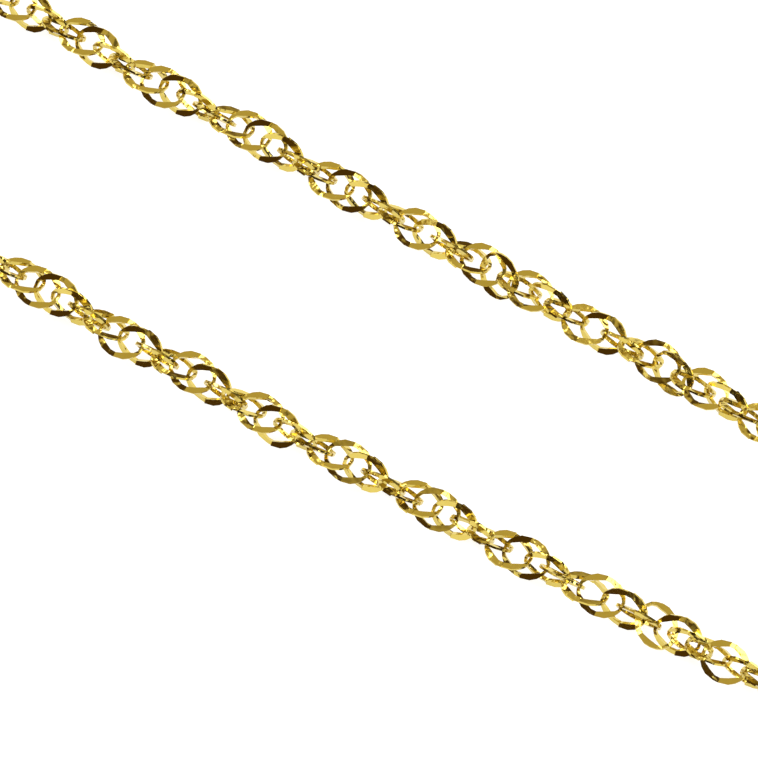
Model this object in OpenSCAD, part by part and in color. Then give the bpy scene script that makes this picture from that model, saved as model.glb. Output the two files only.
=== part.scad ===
// Singapore chain necklace: a closed neck chain of twisted flat rings, laid out
// as a slim loop. Every ring passes through the next two, and each is turned a
// little further than the one before, so the chain winds like a flat ribbon.
// X runs along the loop, Z is up, and the chain rests on Z = 0.

/* [Links] */
// Length of a link, along the chain
link_length = 2.72; // [2.6:0.02:3]
// Width of a link, across the chain
link_width = 2.2; // [2:0.05:2.6]
// Width of the flat bands along a link's two sides
side_band = 0.35; // [0.25:0.01:0.45]
// Width of the wire at a link's two ends
end_wire = 0.19; // [0.15:0.01:0.22]
// Thickness of a link
link_thick = 0.18; // [0.14:0.01:0.22]
// Free play between the ends of two links that hook each other
link_play = 0.18; // [0.14:0.01:0.24]

/* [Twist] */
// Links in half a turn of the chain, outside the charted stretches
half_turn_links = 4.4; // [3.5:0.1:5.5]

/* [Run of the links] */
// Length of the linked run from the clasp round the near end and along the front strand
front_run = 176; // [120:1:180]
// Length of the linked run along the back strand, up to the clasp
back_run = 66; // [40:1:70]

/* [Clasp] */
// Diameter of the round clasp, over its tube
clasp_d = 5; // [4.5:0.1:6]
// Diameter of the clasp's tube
clasp_tube_d = 1; // [0.8:0.05:1.1]
// Wire of the clasp's upright eye
eye_wire = 0.45; // [0.35:0.05:0.5]
// How deep the eye is soldered into the clasp's tube
eye_sink = 0.35; // [0.25:0.05:0.5]
// Diameter of the thumb knob on the clasp
knob_d = 0.7; // [0.5:0.05:0.9]
// Height of the thumb knob over the clasp's tube
knob_rise = 0.5; // [0.3:0.05:0.8]

/* [Rings beside the clasp] */
// Diameter of the lying ring between the last link and the clasp's eye
lying_ring_d = 2.6; // [2.5:0.1:3.2]
// Wire of the two rings
ring_wire = 0.4; // [0.3:0.02:0.44]
// Length of the upright oval ring that the clasp closes on
end_ring_length = 3.2; // [3.1:0.1:4]
// Free play where a ring hooks a link, the clasp or its eye
ring_play = 0.12; // [0.1:0.01:0.2]

/* [Hidden] */
$fn = 48;
gold = [0.86, 0.66, 0.24];

// The chain's route seen from above: it draws towards these points in turn,
// from the clasp on the back strand round the right end and home along the left.
route = [
    [55.5, 6.8], [70.5, 6.8], [85, 6.8], [97, 9.4], [106.5, 7.6], [110.8, 0],
    [106.5, -7.6], [97, -9.2], [80, -6], [60, -5.2], [40, -5.7], [20, -6.85],
    [0, -7], [-20, -6.7], [-40, -6.6], [-65, -6.6], [-84, -6.8], [-97, -9.4],
    [-106.5, -7.6], [-110.8, 0], [-106.5, 7.6], [-97, 9.4], [-85, 6.8], [-65, 6.8],
    [-40, 6.8], [-20, 6.8], [0, 6.8], [25, 6.8], [40.5, 6.8]
];
// Straight steps that stand for the curve between two of those points
steps = 12;

// Turn of a link seen edge on from the viewer's side, on the front and the back strand
front_edge_on = 68.5;
back_edge_on = 111.5;
// Link number of the first waist in the charted twist of each strand, from the clasp on
front_waist = 118.5;
back_waist = 354.6;
// Links in each half turn from there on, strand by strand
front_half_turns = [3, 3.3, 4.3, 4.4, 5.1, 4.8, 4.3, 4.1, 3.9, 5.9];
back_half_turns = [4, 5.1, 5.6, 5.1, 3.8, 3.3, 3, 3.8, 3.3, 2.8];

// Sides of the far run's tube, and the distance between its rings in diameters
tube_sides = 12;
tube_ring_step = 2.4;

pitch = (link_length - 2 * end_wire - link_play) / 2;
axis_z = link_width / 2;
link_reach = link_length / 2 - end_wire;

function blend(t) = [
    pow(1 - t, 3) / 6,
    (3 * pow(t, 3) - 6 * pow(t, 2) + 4) / 6,
    (-3 * pow(t, 3) + 3 * pow(t, 2) + 3 * t + 1) / 6,
    pow(t, 3) / 6
];

// Point of the route at u, where u counts the route's points from the first
function on_route(u) =
    let (n = len(route), i = floor(u), w = blend(u - i))
    w[0] * route[(i + n - 1) % n] + w[1] * route[i % n]
    + w[2] * route[(i + 1) % n] + w[3] * route[(i + 2) % n];

samples = len(route) * steps;
trail = [for (k = [0:samples]) on_route(k / steps)];
function stride(k) = k > samples ? 0 : norm(trail[k] - trail[k - 1]);
// Distance run and place, for each sample of the route
travel = [
    for (k = 0, s = 0; k <= samples; k = k + 1, s = s + stride(k))
        [s, k / steps]
];
route_length = travel[samples][0];

function place(s) = on_route(lookup(s, travel));
function heading(s) =
    let (a = place(s - pitch / 4), b = place(s + pitch / 4))
    atan2(b[1] - a[1], b[0] - a[0]);

// Distances along the straight stretch at the clasp, from the clasp's centre
tube_r = (clasp_d - clasp_tube_d) / 2;
eye_r = (link_width - eye_wire) / 2;
eye_x = -clasp_d / 2 + eye_sink - link_width / 2;
lying_ring_r = (lying_ring_d - ring_wire) / 2;
lying_ring_x = eye_x - eye_r + eye_wire / 2 + ring_play - lying_ring_r + ring_wire / 2;
last_link_x = lying_ring_x - lying_ring_r + ring_wire / 2 + ring_play - link_reach;
end_ring_x = tube_r - clasp_tube_d / 2 - ring_play + end_ring_length / 2 - ring_wire;
first_link_x = end_ring_x + end_ring_length / 2 - ring_wire - ring_play + link_reach;

links = floor((route_length + last_link_x - first_link_x) / pitch) + 1;
link_step = (route_length + last_link_x - first_link_x) / (links - 1);
function link_s(i) = first_link_x + i * link_step;

front_last = floor(front_run / link_step);
back_first = links - 1 - floor(back_run / link_step);

function total(list, n) = n == 0 ? 0 : list[n - 1] + total(list, n - 1);
function half_turns_between(a, b) = round((b - a) / half_turn_links) * 180;

// Turn of the chain at charted link numbers: flat at the first link, upright at
// the last, and edge on to the viewer at each waist
front_turn = front_edge_on + half_turns_between(0, front_waist);
front_chart = [
    for (k = [0:len(front_half_turns)])
        [front_waist + total(front_half_turns, k), front_turn + 180 * k]
];
front_end = front_chart[len(front_half_turns)];
back_turn = front_end[1] + back_edge_on - front_edge_on + half_turns_between(front_end[0], back_waist);
back_chart = [
    for (k = [0:len(back_half_turns)])
        [back_waist + total(back_half_turns, k), back_turn + 180 * k]
];
back_end = back_chart[len(back_half_turns)];
last_turn = back_end[1] - back_edge_on + 90 + half_turns_between(back_end[0], links - 1);
turn_chart = concat([[0, 0]], front_chart, back_chart, [[links - 1, last_turn]]);

// Ring of two round ends joined by straight sides
module oval(length, width) {
    for (side = [-1, 1])
        translate([side * (length - width) / 2, 0]) circle(d = width);
    square([length - width, width], center = true);
}

module link() {
    linear_extrude(height = link_thick, center = true)
        difference() {
            oval(link_length, link_width);
            oval(link_length - 2 * end_wire, link_width - 2 * side_band);
        }
}

module link_at(i) {
    s = link_s(i);
    p = place(s);
    translate([p[0], p[1], axis_z])
        rotate([0, 0, heading(s)])
            rotate([lookup(i, turn_chart), 0, 0]) link();
}

module chain_links() {
    color(gold) {
        for (i = [0:front_last]) link_at(i);
        for (i = [back_first:links - 1]) link_at(i);
    }
}

// Tube with the chain's outer width, along the route from one distance to another
module run_tube(from, to) {
    rings = ceil((to - from) / (tube_ring_step * link_width));
    points = [
        for (k = [0:rings])
            let (s = from + (to - from) * k / rings, p = place(s), h = heading(s))
            for (j = [0:tube_sides - 1])
                let (a = 360 * j / tube_sides, side = axis_z * cos(a))
                [p[0] - side * sin(h), p[1] + side * cos(h), axis_z + axis_z * sin(a)]
    ];
    walls = [
        for (k = [0:rings - 1], j = [0:tube_sides - 1])
            let (a = k * tube_sides + j, b = k * tube_sides + (j + 1) % tube_sides)
            for (face = [[a, b, b + tube_sides], [a, b + tube_sides, a + tube_sides]]) face
    ];
    near_end = [for (j = [0:tube_sides - 1]) tube_sides - 1 - j];
    far_end = [for (j = [0:tube_sides - 1]) rings * tube_sides + j];
    polyhedron(points = points, faces = concat([near_end], walls, [far_end]));
}

module chain_far_run() {
    gap = link_length / 2 + link_play;
    color(gold) run_tube(link_s(front_last) + gap, link_s(back_first) - gap);
}

// What follows lies along X from the clasp's centre
module at_clasp(x) {
    translate([route[0][0] + x, route[0][1], axis_z]) children();
}

module wire_ring(radius, wire) {
    rotate_extrude() translate([radius, 0]) circle(d = wire);
}

module clasp() {
    color(gold) at_clasp(0) {
        wire_ring(tube_r, clasp_tube_d);
        translate([eye_x, 0, 0]) rotate([90, 0, 0]) wire_ring(eye_r, eye_wire);
        translate([0, tube_r, 0]) rotate([-90, 0, 0]) cylinder(d = knob_d, h = clasp_tube_d / 2 + knob_rise);
    }
}

module clasp_ring() {
    color(gold) at_clasp(lying_ring_x) wire_ring(lying_ring_r, ring_wire);
}

module end_ring() {
    bend_r = (link_width - ring_wire) / 2;
    straight = end_ring_length - link_width;
    color(gold) at_clasp(end_ring_x) rotate([90, 0, 0]) {
        for (side = [-1, 1]) {
            translate([side * straight / 2, 0, 0])
                rotate([0, 0, side * 90 - 180])
                    rotate_extrude(angle = 180) translate([bend_r, 0]) circle(d = ring_wire);
            translate([-straight / 2, side * bend_r, 0])
                rotate([0, 90, 0]) cylinder(d = ring_wire, h = straight);
        }
    }
}

chain_links();
chain_far_run();
clasp();
clasp_ring();
end_ring();
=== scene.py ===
"""A singapore chain necklace in yellow gold, laid out as a slim loop on a pale table."""

import math

import bpy
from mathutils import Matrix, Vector


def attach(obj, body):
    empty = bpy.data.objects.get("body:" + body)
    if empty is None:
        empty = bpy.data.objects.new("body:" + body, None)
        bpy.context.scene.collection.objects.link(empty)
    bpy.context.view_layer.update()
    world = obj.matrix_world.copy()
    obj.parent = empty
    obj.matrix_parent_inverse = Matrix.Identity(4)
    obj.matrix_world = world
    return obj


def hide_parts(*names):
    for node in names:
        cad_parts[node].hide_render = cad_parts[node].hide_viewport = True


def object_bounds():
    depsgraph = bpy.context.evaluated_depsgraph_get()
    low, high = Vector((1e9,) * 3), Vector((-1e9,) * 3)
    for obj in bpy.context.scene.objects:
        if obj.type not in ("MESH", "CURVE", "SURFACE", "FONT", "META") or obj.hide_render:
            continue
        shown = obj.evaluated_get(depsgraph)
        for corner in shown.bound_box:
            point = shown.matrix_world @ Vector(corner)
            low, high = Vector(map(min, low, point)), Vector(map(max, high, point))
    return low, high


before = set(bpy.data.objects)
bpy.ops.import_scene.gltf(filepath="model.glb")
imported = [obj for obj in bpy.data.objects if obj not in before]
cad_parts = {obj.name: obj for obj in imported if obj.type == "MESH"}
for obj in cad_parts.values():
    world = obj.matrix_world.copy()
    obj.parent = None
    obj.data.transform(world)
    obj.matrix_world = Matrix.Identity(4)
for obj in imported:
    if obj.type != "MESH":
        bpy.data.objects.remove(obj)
cad_low, cad_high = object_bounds()

MM = 0.001

# The ring that the chain repeats, as in the source of the part
LINK_LENGTH = 2.72 * MM
LINK_WIDTH = 2.2 * MM
AXIS_HEIGHT = LINK_WIDTH / 2

# A quarter of the ring whose top is cut flat, from the ring's end to the middle of its side:
# angle in degrees, share of the straight part, width of the band, and heights of its top inside,
# top outside, underside outside and underside inside, these in millimetres
QUARTER = [
    (12, 1, 0.17, 0.08, 0.11, -0.08, -0.11),
    (27, 1, 0.21, 0.12, 0.12, -0.06, -0.12),
    (46, 1, 0.32, 0.12, 0.12, -0.01, -0.14),
    (67, 1, 0.35, 0.12, 0.12, 0.0, -0.14),
    (90, 0.6, 0.27, 0.12, 0.12, 0.01, -0.12),
    (90, 0.45, 0.27, 0.15, 0.03, 0.01, -0.12),
]
CUT_ROWS = QUARTER[1:-1]
# How far the rim is drawn in midway between the ring's ends and its sides
RIM_FLATTENING = 0.05 * MM

# The row of links: the least step from one to the next, and how far the first and the last lie
# from the clasp's centre along the chain
LINK_PITCH = 1.08 * MM
FIRST_LINK = 4.83 * MM
LAST_LINK = -6.63 * MM

# The chain's route seen from above, in millimetres: it draws towards these points in turn, from
# the clasp on the back strand round the right end and home along the left
ROUTE = [
    (55.5, 6.8), (70.5, 6.8), (85, 6.8), (97, 9.4), (106.5, 7.6), (110.8, 0),
    (106.5, -7.6), (97, -9.2), (80, -6), (60, -5.2), (40, -5.7), (20, -6.85),
    (0, -7), (-20, -6.7), (-40, -6.6), (-65, -6.6), (-84, -6.8), (-97, -9.4),
    (-106.5, -7.6), (-110.8, 0), (-106.5, 7.6), (-97, 9.4), (-85, 6.8), (-65, 6.8),
    (-40, 6.8), (-20, 6.8), (0, 6.8), (25, 6.8), (40.5, 6.8),
]
# Straight steps that stand for the curve between two of those points
ROUTE_STEPS = 24

# The twist: links in half a turn, then for the front and the back strand the turn in degrees of a
# link that is seen edge on, the number of the first waist, and the links in each half turn from there
HALF_TURN_LINKS = 4.4
FRONT_EDGE_ON = 68.5
BACK_EDGE_ON = 111.5
FRONT_WAIST = 118.5
BACK_WAIST = 354.6
FRONT_HALF_TURNS = [3, 3.3, 4.3, 4.4, 5.1, 4.8, 4.3, 4.1, 3.9, 5.9]
BACK_HALF_TURNS = [4, 5.1, 5.6, 5.1, 3.8, 3.3, 3, 3.8, 3.3, 2.8]

# Play of the links, of which each draws its own share: slip sideways, turn about the chain, and
# tilt across it
SLACK_SLIDE = 0.16 * MM
SLACK_TURN = math.radians(4)
SLACK_TILT = math.radians(0.8)
SLACK_SEED = 7

# Links that lie out of line: how far each has slipped along the chain and sideways, in millimetres,
# and how much further it is turned about the chain and spun in its own plane, in degrees
OUT_OF_LINE = {
    120: (0.08, -0.02, -1, 1),
    123: (-0.33, 0.01, -15, -6),
    124: (-0.2, 0.04, -25, 40),
    125: (-0.21, 0, 0, 0),
    126: (-0.41, -0.03, 5, -3),
    127: (-0.12, 0, 0, 0),
    128: (-0.29, 0, 0, 0),
    130: (-0.17, 0, 0, 0),
    132: (-0.1, 0.04, 0, 0),
    145: (0, 0.18, 0, 0),
    380: (-0.21, 0.04, -9, 2),
    381: (-0.25, 0.06, -31, 53),
    382: (-0.08, 0.03, 0, 0),
    383: (-0.5, 0.16, -18, -1),
    384: (-0.35, 0.13, -10, -14),
    385: (-0.38, 0.03, 0, 0),
    386: (-0.25, 0, 0, 0),
    387: (-0.25, 0, 0, 0),
    388: (-0.15, 0, 0, 0),
    389: (-0.12, -0.02, 0, 0),
    390: (-0.17, 0.24, 5, -1),
    391: (-0.25, -0.05, -24, -34),
    392: (-0.07, 0, 0, 0),
    393: (-0.46, -0.11, -19, 3),
    394: (-0.26, -0.12, -11, 15),
    395: (-0.34, -0.03, -8, -3),
    396: (-0.16, 0.02, 0, 0),
    397: (-0.21, 0, 0, 0),
    398: (-0.03, 0, 0, 0),
    399: (-0.08, 0, 0, 0),
}
IN_LINE = (0, 0, 0, 0)

# What each link of the chain has of its own
LINK_VALUES = ("twist", "along", "slide", "turn", "spin")

# What the tree that strings the links takes in, and the kind of each
CHAIN_INPUTS = [
    ("Geometry", "NodeSocketGeometry"),
    ("Route", "NodeSocketObject"),
    ("Ring", "NodeSocketObject"),
    ("First Link", "NodeSocketFloat"),
    ("Link Step", "NodeSocketFloat"),
    ("Slack Tilt", "NodeSocketFloat"),
    ("Slack Turn", "NodeSocketFloat"),
    ("Slack Slide", "NodeSocketFloat"),
    ("Seed", "NodeSocketInt"),
    ("Gold", "NodeSocketMaterial"),
]

# Gold of the chain: darker and lighter tone, noises per metre, and roughness where it isn't cut
CHAIN_TONES = ((0.62, 0.475, 0.10, 1), (0.68, 0.545, 0.135, 1))
GRAIN_SCALE = 2600.0
GRAIN_DETAIL = 3.0
RIPPLE_SCALE = 2800.0
RIPPLE_DETAIL = 0.5
RIPPLE_HEIGHT = 0.08 * MM
DRAWN_ROUGHNESS = 0.16
# What the cut takes off the ripple, as a share, and off the roughness
CUT_SMOOTHING = 0.9
CUT_POLISH = 0.08

# Gold of the clasp and the plain rings, as above, and what scuffs add to its roughness
CLASP_TONES = ((0.64, 0.50, 0.13, 1), (0.72, 0.58, 0.17, 1))
STAIN_SCALE = 700.0
STAIN_DETAIL = 4.0
SCUFF_SCALE = 6000.0
SCUFF_DETAIL = 5.0
SCUFF_HEIGHT = 0.01 * MM
SCUFF_STRENGTH = 0.5
CLASP_ROUGHNESS = 0.1
SCUFF_ROUGHNESS = 0.22

# The camera looks down on the near half of the loop
AIM = Vector((14.0, -1.83, 1.1)) * MM
VIEW_AZIMUTH = math.radians(32.25)
VIEW_ELEVATION = math.radians(65)
VIEW_DISTANCE = 320 * MM
LENS = 286.8
CLIP_START = 0.01
CLIP_END = 10

# The white table: half its side, the gap between it and the chain, its paint and its own glow
TABLE_HALF = 1.5
TABLE_GAP = 0.02 * MM
TABLE_GREY = (0.3, 0.3, 0.3, 1)
TABLE_ROUGHNESS = 0.7
TABLE_GLOW = (1, 1, 1, 1)
TABLE_GLOW_STRENGTH = 0.86

# Soft lights on a dome round the table: name, turn from the front towards the right and height in
# degrees, width and height of the light in metres, and brightness
DOME_RADIUS = 1.0
SOFTBOXES = [
    ("left_softbox", -80, 38, 0.4, 0.4, 6.0),
    ("right_softbox", 60, 38, 0.4, 0.4, 6.0),
    ("back_right_softbox", 125, 32, 0.4, 0.35, 6.0),
    ("back_left_softbox", -130, 30, 0.35, 0.3, 5.0),
    ("back_softbox", 160, 50, 0.6, 0.9, 4.0),
]

# Colours of the room from the table's level upwards, by the sine of the angle above it
WALLS = [
    (0.0, (0.5, 0.45, 0.35, 1)),
    (0.05, (0.13, 0.08, 0.03, 1)),
    (0.26, (0.12, 0.07, 0.025, 1)),
    (0.36, (0.7, 0.6, 0.35, 1)),
    (0.6, (0.66, 0.56, 0.31, 1)),
]
# The dark side of the room, low in front of the table: the way to its middle, how steeply it begins,
# the cosine to the middle, times that steepness, at which it begins, and its colour
DARK_SIDE = (-0.2, -0.89, 0.4)
DARK_STEEPNESS = 12.0
DARK_START = 9.3
DARK_COLOUR = (0.09, 0.048, 0.012, 1)
# How much dimmer the right half of the room is, and how steeply it gets so
RIGHT_DIMMING = 0.75
RIGHT_STEEPNESS = 4.0


class Socket:
    """A node's value: sums and products of it add the Math nodes that work them out."""

    def __init__(self, tree, out):
        self.tree = tree
        self.out = out

    def __add__(self, other):
        return self.tree.math("ADD", self, other)

    def __radd__(self, other):
        return self.tree.math("ADD", other, self)

    def __sub__(self, other):
        return self.tree.math("SUBTRACT", self, other)

    def __rsub__(self, other):
        return self.tree.math("SUBTRACT", other, self)

    def __mul__(self, other):
        return self.tree.math("MULTIPLY", self, other)

    def __rmul__(self, other):
        return self.tree.math("MULTIPLY", other, self)

    def clamp(self, low, high):
        return self.tree.math("MINIMUM", self.tree.math("MAXIMUM", self, low), high)


class Tree:
    """A node tree that is written in one call a node."""

    def __init__(self, node_tree):
        self.node_tree = node_tree
        node_tree.nodes.clear()

    def node(self, kind, settings=None, inputs=None, out=0):
        """Adds a node and returns its output, or a list of outputs where out names several."""
        node = self.node_tree.nodes.new(kind)
        for name, value in (settings or {}).items():
            if name == "stops":
                self.set_stops(node.color_ramp, value)
            else:
                setattr(node, name, value)
        for name, value in (inputs or {}).items():
            self.feed(node.inputs[name], value)
        if isinstance(out, tuple):
            return [Socket(self, node.outputs[name]) for name in out]
        return Socket(self, node.outputs[out]) if node.outputs else node

    def math(self, operation, *values):
        return self.node("ShaderNodeMath", {"operation": operation}, dict(enumerate(values)))

    def mix(self, factor, first, second):
        """Mixes two colours, which the Mix node takes in as its sockets 6 and 7."""
        return self.node("ShaderNodeMix", {"data_type": "RGBA"}, {0: factor, 6: first, 7: second}, out=2)

    def noise(self, scale, detail):
        """Noise over a piece, fixed to its own place."""
        place = self.node("ShaderNodeTexCoord", out="Object")
        sizes = {"Vector": place, "Scale": scale, "Detail": detail}
        return self.node("ShaderNodeTexNoise", {}, sizes, out="Fac")

    def feed(self, socket, value):
        if isinstance(value, Socket):
            self.node_tree.links.new(value.out, socket)
        else:
            socket.default_value = value

    @staticmethod
    def set_stops(ramp, stops):
        while len(ramp.elements) > 1:
            ramp.elements.remove(ramp.elements[-1])
        for place, colour in stops:
            element = ramp.elements[0] if place == stops[0][0] else ramp.elements.new(place)
            element.position = place
            element.color = colour


def new_material(name):
    """An empty material, and the tree of its nodes."""
    material = bpy.data.materials.new(name)
    material.use_nodes = True
    return material, Tree(material.node_tree)


def cut_gold():
    """Chain gold: mirror-bright cut flats, and drawn wire between them."""
    material, tree = new_material("cut_gold")
    cut = tree.node("ShaderNodeAttribute", {"attribute_name": "cut"}, out="Fac")
    grain = tree.noise(GRAIN_SCALE, GRAIN_DETAIL)
    ripple = tree.noise(RIPPLE_SCALE, RIPPLE_DETAIL)
    height = ripple - cut * CUT_SMOOTHING * ripple
    bump = tree.node("ShaderNodeBump", {}, {"Height": height, "Strength": 1.0, "Distance": RIPPLE_HEIGHT})
    shader = tree.node("ShaderNodeBsdfPrincipled", {}, {
        "Base Color": tree.mix(grain, *CHAIN_TONES),
        "Metallic": 1.0,
        "Roughness": DRAWN_ROUGHNESS - CUT_POLISH * cut,
        "Normal": bump,
    })
    tree.node("ShaderNodeOutputMaterial", {}, {"Surface": shader})
    return material


def clasp_gold():
    """Gold of the clasp and the plain rings: drawn wire, polished but worn by years of handling."""
    material, tree = new_material("clasp_gold")
    stain = tree.noise(STAIN_SCALE, STAIN_DETAIL)
    scuffs = tree.noise(SCUFF_SCALE, SCUFF_DETAIL)
    bump = tree.node("ShaderNodeBump", {}, {
        "Height": scuffs, "Strength": SCUFF_STRENGTH, "Distance": SCUFF_HEIGHT})
    shader = tree.node("ShaderNodeBsdfPrincipled", {}, {
        "Base Color": tree.mix(stain, *CLASP_TONES),
        "Metallic": 1.0,
        "Roughness": CLASP_ROUGHNESS + SCUFF_ROUGHNESS * scuffs,
        "Normal": bump,
    })
    tree.node("ShaderNodeOutputMaterial", {}, {"Surface": shader})
    return material


def ring_sections():
    """The ring's sections in turn: corners of each, and whether its top and its underside are cut."""
    stretch = (LINK_LENGTH - LINK_WIDTH) / 2
    sections = []
    for quarter in range(4):
        top_is_cut = quarter % 2 == 1
        x_side = 1 if quarter in (0, 3) else -1
        y_side = 1 if quarter < 2 else -1
        for row in reversed(QUARTER) if top_is_cut else QUARTER:
            angle, along, band, top_in, top_out, under_out, under_in = row
            a = math.radians(angle)
            outer = LINK_WIDTH / 2 - RIM_FLATTENING * math.sin(2 * a)
            inner = outer - band * MM
            heights = (top_in, top_out, under_out, under_in)
            if not top_is_cut:
                heights = (-under_in, -under_out, -top_out, -top_in)
            corners = []
            for height, radius in zip(heights, (inner, outer, outer, inner)):
                x = x_side * (stretch * along + radius * math.cos(a))
                y = y_side * radius * math.sin(a)
                corners.append((x, y, height * MM))
            is_cut = row in CUT_ROWS
            sections.append((corners, is_cut and top_is_cut, is_cut and not top_is_cut))
    return sections


def ring_mesh():
    """One ring: an oval band, cut flat on top at two places and underneath at the two between them."""
    sections = ring_sections()
    points = []
    faces = []
    flat = []
    for k, (corners, top_cut, under_cut) in enumerate(sections):
        n = (k + 1) % len(sections)
        points.extend(corners)
        for j in range(4):
            m = (j + 1) % 4
            faces.append((k * 4 + j, k * 4 + m, n * 4 + m, n * 4 + j))
            flat.append(j == 0 and top_cut and sections[n][1] or j == 2 and under_cut and sections[n][2])
    mesh = bpy.data.meshes.new("chain_ring")
    mesh.from_pydata(points, [], faces)
    mesh.shade_flat()
    cut = mesh.attributes.new("cut", "FLOAT", "FACE")
    for i, is_flat in enumerate(flat):
        cut.data[i].value = float(is_flat)
    return mesh


def turn_chart(links):
    """Turn of the chain in degrees at charted link numbers, as (number, turn) pairs."""
    def half_turns_between(a, b):
        return round((b - a) / HALF_TURN_LINKS) * 180

    def charted(number, turn, half_turns):
        rows = [(number, turn)]
        for count in half_turns:
            rows.append((rows[-1][0] + count, rows[-1][1] + 180))
        return rows

    front = charted(FRONT_WAIST, FRONT_EDGE_ON + half_turns_between(0, FRONT_WAIST), FRONT_HALF_TURNS)
    back_turn = front[-1][1] + BACK_EDGE_ON - FRONT_EDGE_ON + half_turns_between(front[-1][0], BACK_WAIST)
    back = charted(BACK_WAIST, back_turn, BACK_HALF_TURNS)
    # the last link stands upright
    last_turn = back[-1][1] - BACK_EDGE_ON + 90 + half_turns_between(back[-1][0], links - 1)
    return [(0, 0)] + front + back + [(links - 1, last_turn)]


def lookup(number, chart):
    """The turn at a link number, between the charted ones."""
    for (a, turn_a), (b, turn_b) in zip(chart, chart[1:]):
        if number <= b:
            return turn_a + (turn_b - turn_a) * (number - a) / (b - a)
    return chart[-1][1]


def route_curve():
    """The route as one smooth closed curve that draws towards its points, and the curve's length."""
    data = bpy.data.curves.new("route", "CURVE")
    data.dimensions = "3D"
    data.resolution_u = ROUTE_STEPS
    spline = data.splines.new("NURBS")
    spline.points.add(len(ROUTE) - 1)
    for point, (x, y) in zip(spline.points, ROUTE[-1:] + ROUTE[:-1]):
        point.co = (x * MM, y * MM, AXIS_HEIGHT, 1)
    spline.order_u = 4
    spline.use_cyclic_u = True
    curve = bpy.data.objects.new("route", data)
    bpy.context.scene.collection.objects.link(curve)
    return curve, spline.calc_length(resolution=ROUTE_STEPS)


def chain_tree():
    """Geometry nodes that hang one ring at each point of a row, along a route and turned by the twist."""
    group = bpy.data.node_groups.new("link_chain", "GeometryNodeTree")
    for name, kind in CHAIN_INPUTS:
        group.interface.new_socket(name, in_out="INPUT", socket_type=kind)
    group.interface.new_socket("Geometry", in_out="OUTPUT", socket_type="NodeSocketGeometry")
    tree = Tree(group)
    names = tuple(name for name, kind in CHAIN_INPUTS)
    given = dict(zip(names, tree.node("NodeGroupInput", out=names)))

    # each link's place on the route, and the way that the route runs there
    route = tree.node("GeometryNodeObjectInfo", {}, {"Object": given["Route"]}, out="Geometry")
    ring = tree.node("GeometryNodeObjectInfo", {}, {"Object": given["Ring"]}, out="Geometry")
    number = tree.node("GeometryNodeInputIndex")
    distance = given["First Link"] + number * given["Link Step"]
    place, tangent = tree.node("GeometryNodeSampleCurve", {"mode": "LENGTH"}, {
        "Curves": route, "Length": distance}, out=("Position", "Tangent"))
    run_x, run_y = tree.node("ShaderNodeSeparateXYZ", {}, {0: tangent}, out=("X", "Y"))
    heading = tree.math("ARCTAN2", run_y, run_x)

    # what each link has of its own, and four random shares of the slack
    own = {}
    for name in LINK_VALUES:
        own[name] = tree.node("GeometryNodeInputNamedAttribute", {"data_type": "FLOAT"}, {"Name": name})
    slacks = []
    for k in range(4):
        slacks.append(tree.node("FunctionNodeRandomValue", {"data_type": "FLOAT"}, {
            2: -1.0, 3: 1.0, "Seed": given["Seed"] + float(k)}, out=1))
    slip, turn, pitch, yaw = slacks

    # links that lie level slip sideways, and links that stand on edge don't
    level = tree.math("COSINE", own["twist"])
    slide = slip * given["Slack Slide"] * level * tree.math("ABSOLUTE", level) + own["slide"]
    angles = tree.node("ShaderNodeCombineXYZ", {}, {
        0: own["twist"] + own["turn"] + turn * given["Slack Turn"],
        1: pitch * given["Slack Tilt"],
        2: heading + yaw * given["Slack Tilt"],
    })
    placed = tree.node("GeometryNodeSetPosition", {}, {"Geometry": given["Geometry"], "Position": place})
    rings = tree.node("GeometryNodeInstanceOnPoints", {}, {
        "Points": placed, "Instance": ring,
        "Rotation": tree.node("FunctionNodeEulerToRotation", {}, {0: angles})})
    shift = tree.node("ShaderNodeCombineXYZ", {}, {0: own["along"], 1: slide})
    slid = tree.node("GeometryNodeTranslateInstances", {}, {
        "Instances": rings, "Translation": shift, "Local Space": True})
    spin = tree.node("ShaderNodeCombineXYZ", {}, {2: own["spin"]})
    spun = tree.node("GeometryNodeRotateInstances", {}, {
        "Instances": slid, "Local Space": True,
        "Rotation": tree.node("FunctionNodeEulerToRotation", {}, {0: spin})})
    real = tree.node("GeometryNodeRealizeInstances", {}, {"Geometry": spun})
    gold = tree.node("GeometryNodeSetMaterial", {}, {"Geometry": real, "Material": given["Gold"]})
    tree.node("NodeGroupOutput", {}, {0: gold})
    return group


def plain_mesh(maker, name, tree, values):
    """Runs a geometry node tree on an object and returns its result as a plain mesh object."""
    modifier = maker.modifiers.new("make", "NODES")
    modifier.node_group = tree
    for item in tree.interface.items_tree:
        if item.in_out == "INPUT" and item.name in values:
            modifier[item.identifier] = values[item.name]
    depsgraph = bpy.context.evaluated_depsgraph_get()
    mesh = bpy.data.meshes.new_from_object(maker.evaluated_get(depsgraph))
    maker.modifiers.remove(modifier)
    mesh.name = name
    made = bpy.data.objects.new(name, mesh)
    bpy.context.scene.collection.objects.link(made)
    return made


def link_row(links):
    """A point for each link, which carries what the link has of its own."""
    row = bpy.data.meshes.new("link_row")
    row.from_pydata([(0, 0, 0)] * links, [], [])
    for name in LINK_VALUES:
        row.attributes.new(name, "FLOAT", "POINT")
    chart = turn_chart(links)
    for i in range(links):
        along, slide, turn, spin = OUT_OF_LINE.get(i, IN_LINE)
        twist = math.radians(lookup(i, chart))
        own = (twist, along * MM, slide * MM, math.radians(turn), math.radians(spin))
        for name, value in zip(LINK_VALUES, own):
            row.attributes[name].data[i].value = value
    return row


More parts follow.
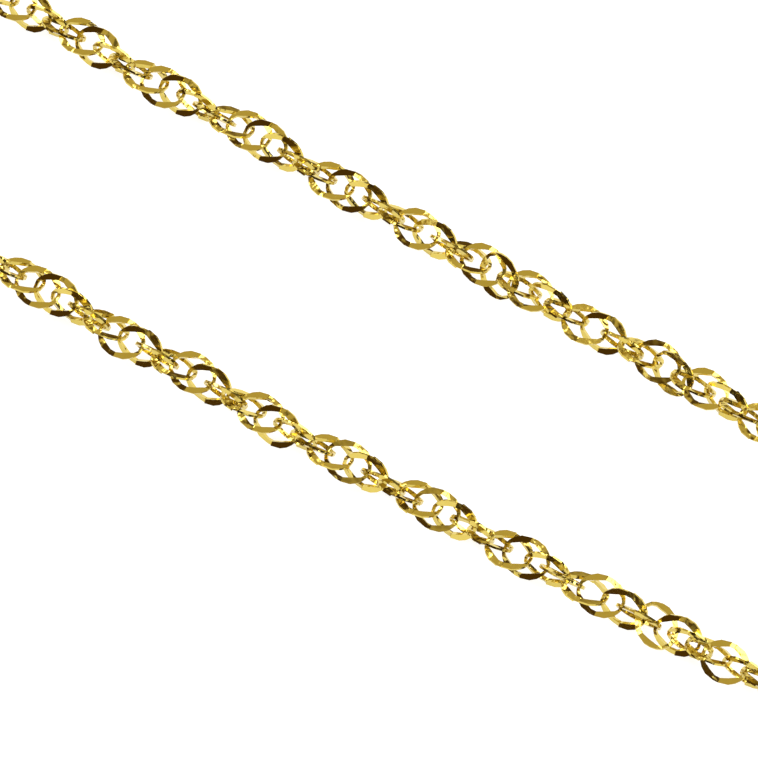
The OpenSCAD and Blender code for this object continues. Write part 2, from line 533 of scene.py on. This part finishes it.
def linked_chain(gold):
    """All the rings of the chain, from the one beside the clasp round to its other side."""
    curve, route_length = route_curve()
    span = route_length + LAST_LINK - FIRST_LINK
    links = math.floor(span / LINK_PITCH) + 1
    maker = bpy.data.objects.new("link_row", link_row(links))
    ring = bpy.data.objects.new("ring", ring_mesh())
    for helper in (maker, ring):
        bpy.context.scene.collection.objects.link(helper)
    chain = plain_mesh(maker, "twisted_chain", chain_tree(), {
        "Route": curve,
        "Ring": ring,
        "First Link": FIRST_LINK,
        "Link Step": span / (links - 1),
        "Slack Tilt": SLACK_TILT,
        "Slack Turn": SLACK_TURN,
        "Slack Slide": SLACK_SLIDE,
        "Seed": SLACK_SEED,
        "Gold": gold,
    })
    for helper in (maker, ring, curve):
        bpy.data.objects.remove(helper)
    return chain


def dome_direction(azimuth, elevation):
    """The way out from the table, by the turn from the front towards the right and the height."""
    level = math.cos(elevation)
    return Vector((math.sin(azimuth) * level, -math.cos(azimuth) * level, math.sin(elevation)))


def camera():
    """The camera, at the photograph's viewing angle."""
    back = dome_direction(VIEW_AZIMUTH, VIEW_ELEVATION)
    data = bpy.data.cameras.new("camera")
    data.lens = LENS
    data.clip_start = CLIP_START
    data.clip_end = CLIP_END
    cam = bpy.data.objects.new("camera", data)
    cam.location = AIM + back * VIEW_DISTANCE
    cam.rotation_euler = (-back).to_track_quat("-Z", "Y").to_euler()
    bpy.context.scene.collection.objects.link(cam)
    bpy.context.scene.camera = cam


def softbox(name, azimuth, elevation, width, height, radiance):
    """A soft rectangular light on the dome round the table, facing its middle."""
    away = dome_direction(math.radians(azimuth), math.radians(elevation))
    data = bpy.data.lights.new(name, "AREA")
    data.shape = "RECTANGLE"
    data.size = width
    data.size_y = height
    data.energy = radiance * math.pi * width * height
    light = bpy.data.objects.new(name, data)
    light.location = away * DOME_RADIUS
    light.rotation_euler = away.to_track_quat("Z", "Y").to_euler()
    bpy.context.scene.collection.objects.link(light)


def white_table():
    """The plain white floor, just under the chain."""
    corners = [(-1, -1), (1, -1), (1, 1), (-1, 1)]
    mesh = bpy.data.meshes.new("table")
    mesh.from_pydata([(x * TABLE_HALF, y * TABLE_HALF, 0) for x, y in corners], [], [(0, 1, 2, 3)])
    table = bpy.data.objects.new("table", mesh)
    table.location.z = cad_low.z - TABLE_GAP
    bpy.context.scene.collection.objects.link(table)
    white, tree = new_material("white_table")
    shader = tree.node("ShaderNodeBsdfPrincipled", {}, {
        "Base Color": TABLE_GREY,
        "Roughness": TABLE_ROUGHNESS,
        "Emission Color": TABLE_GLOW,
        "Emission Strength": TABLE_GLOW_STRENGTH,
    })
    tree.node("ShaderNodeOutputMaterial", {}, {"Surface": shader})
    mesh.materials.append(white)


def room():
    """What the gold mirrors: golden walls over a dark band, a dark side in front and a dimmer right."""
    world = bpy.data.worlds.new("room")
    bpy.context.scene.world = world
    world.use_nodes = True
    tree = Tree(world.node_tree)
    direction = tree.node("ShaderNodeTexCoord", out="Generated")
    across, height = tree.node("ShaderNodeSeparateXYZ", {}, {0: direction}, out=("X", "Z"))
    walls = tree.node("ShaderNodeValToRGB", {"stops": WALLS}, {"Fac": height})
    towards_dark = tree.node("ShaderNodeVectorMath", {"operation": "DOT_PRODUCT"}, {
        0: direction, 1: DARK_SIDE}, out="Value")
    darkness = (towards_dark * DARK_STEEPNESS - DARK_START).clamp(0.0, 1.0)
    dimmed = 1.0 - RIGHT_DIMMING * (across * RIGHT_STEEPNESS).clamp(0.0, 1.0)
    shade = tree.node("ShaderNodeBackground", {}, {
        "Color": tree.mix(darkness, walls, DARK_COLOUR), "Strength": dimmed})
    tree.node("ShaderNodeOutputWorld", {}, {"Surface": shade})


def studio():
    """A white table under soft lights, in a golden room."""
    white_table()
    for light in SOFTBOXES:
        softbox(*light)
    room()
    bpy.context.scene.view_settings.view_transform = "Standard"


camera()
studio()
gold = cut_gold()
chain = linked_chain(gold)
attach(chain, "root")
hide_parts("chain_links", "chain_far_run")

plain_gold = clasp_gold()
for name in ("clasp", "clasp_ring", "end_ring"):
    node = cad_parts[name]
    node.data.materials.clear()
    node.data.materials.append(plain_gold)
